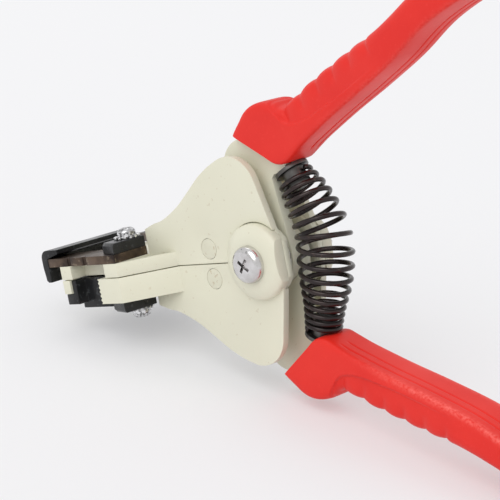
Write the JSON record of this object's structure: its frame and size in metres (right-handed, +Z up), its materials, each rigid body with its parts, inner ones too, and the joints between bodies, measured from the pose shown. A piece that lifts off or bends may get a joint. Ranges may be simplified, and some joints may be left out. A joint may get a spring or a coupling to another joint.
{
  "type": "automatic wire stripper",
  "caption": "Hand wire stripper: paired side plates with notched and gripping jaws, sprung red handles and a barrel spring.",
  "frame": {"origin": "on the floor under the middle of the tool as it stands on its lower grip", "axes": "+X from the jaws towards the handles, +Y across the tool away from the notched jaw pair, +Z up"},
  "size_m": [0.1854, 0.042, 0.1354],
  "materials": {
    "painted_plate": "cream enamel on pressed steel",
    "bright_steel": "bright plated steel",
    "dark_steel": "oiled dark steel",
    "tinted_steel": "brown heat-tinted hardened steel",
    "black_steel": "glossy black oxide",
    "spring_steel": "brown-black oil-tempered wire",
    "red_grip": "soft red moulded plastic with a light sheen",
    "post_steel": "cream enamel on a rivet end"
  },
  "bodies": {
    "core": {"main_bolt": "bright_steel", "main_nut": "bright_steel", "main_washer": "bright_steel", "pivot_sleeve": "dark_steel", "near_thrust_washer": "bright_steel", "far_thrust_washer": "bright_steel", "barrel_spring": "spring_steel"},
    "near_carrier": {"near_bush": "dark_steel", "near_closing_spring": "dark_steel"},
    "near_upper_jaw": {"near_upper_plate": "painted_plate", "near_upper_post": "post_steel", "notched_blade": "tinted_steel", "upper_blade_clamp": "black_steel", "upper_clamp_screw": "bright_steel", "upper_lock_washer": "bright_steel", "beak_guard": "black_steel"},
    "near_lower_jaw": {"near_lower_plate": "painted_plate", "near_lower_post": "post_steel", "lower_blade_block": "black_steel", "lower_blade_clamp": "black_steel", "lower_clamp_screw": "bright_steel", "lower_lock_washer": "bright_steel"},
    "far_carrier": {"far_bush": "dark_steel", "far_closing_spring": "dark_steel"},
    "far_upper_jaw": {"far_upper_plate": "painted_plate", "far_upper_post": "post_steel", "upper_grip_pad": "tinted_steel", "upper_pad_screw": "bright_steel", "upper_pad_washer": "bright_steel"},
    "far_lower_jaw": {"far_lower_plate": "painted_plate", "far_lower_post": "post_steel", "lower_grip_pad": "black_steel", "lower_pad_screw": "bright_steel", "lower_pad_washer": "bright_steel"},
    "upper_handle": {"upper_arm": "painted_plate", "upper_grip": "red_grip", "upper_spring_seat": "dark_steel"},
    "lower_handle": {"lower_arm": "painted_plate", "lower_grip": "red_grip", "lower_spring_seat": "dark_steel"}
  },
  "joints": [
    {"name": "handle_squeeze", "type": "hinge", "parent": "core", "child": "upper_handle", "pos_m": [-0.02107, 0, 0.03694], "axis": [0, 1, 0], "range_deg": [0, 24], "stiffness_Nm_per_rad": 1, "springref_deg": -34.38, "deforming": ["barrel_spring"]},
    {"name": "lower_handle_squeeze", "type": "hinge", "parent": "upper_handle", "child": "lower_handle", "pos_m": [-0.02107, 0, 0.03694], "axis": [0, 1, 0], "range_deg": [-48, 0]},
    {"name": "near_spread", "type": "hinge", "parent": "core", "child": "near_carrier", "pos_m": [-0.02578, -0.0117, 0.03526], "axis": [-0.3378, 0, 0.9412], "range_deg": [0, 6]},
    {"name": "far_spread", "type": "hinge", "parent": "core", "child": "far_carrier", "pos_m": [-0.02578, 0.0117, 0.03526], "axis": [-0.3378, 0, 0.9412], "range_deg": [-6, 0]},
    {"name": "jaw_open", "type": "hinge", "parent": "near_carrier", "child": "near_upper_jaw", "pos_m": [-0.02107, 0, 0.03694], "axis": [0, 1, 0], "range_deg": [0, 10], "stiffness_Nm_per_rad": 1, "springref_deg": -17.19, "deforming": ["near_closing_spring", "far_closing_spring"]},
    {"name": "near_lower_open", "type": "hinge", "parent": "near_carrier", "child": "near_lower_jaw", "pos_m": [-0.02107, 0, 0.03694], "axis": [0, 1, 0], "range_deg": [-10, 0]},
    {"name": "far_upper_open", "type": "hinge", "parent": "far_carrier", "child": "far_upper_jaw", "pos_m": [-0.02107, 0, 0.03694], "axis": [0, 1, 0], "range_deg": [0, 10]},
    {"name": "far_lower_open", "type": "hinge", "parent": "far_carrier", "child": "far_lower_jaw", "pos_m": [-0.02107, 0, 0.03694], "axis": [0, 1, 0], "range_deg": [-10, 0]}
  ],
  "couplings": [
    {"joint": "lower_handle_squeeze", "follows": "handle_squeeze", "ratio": -2},
    {"joint": "near_spread", "follows": "handle_squeeze", "ratio": 0.25},
    {"joint": "far_spread", "follows": "handle_squeeze", "ratio": -0.25},
    {"joint": "near_lower_open", "follows": "jaw_open", "ratio": -1},
    {"joint": "far_upper_open", "follows": "jaw_open", "ratio": 1},
    {"joint": "far_lower_open", "follows": "jaw_open", "ratio": -1}
  ]
}
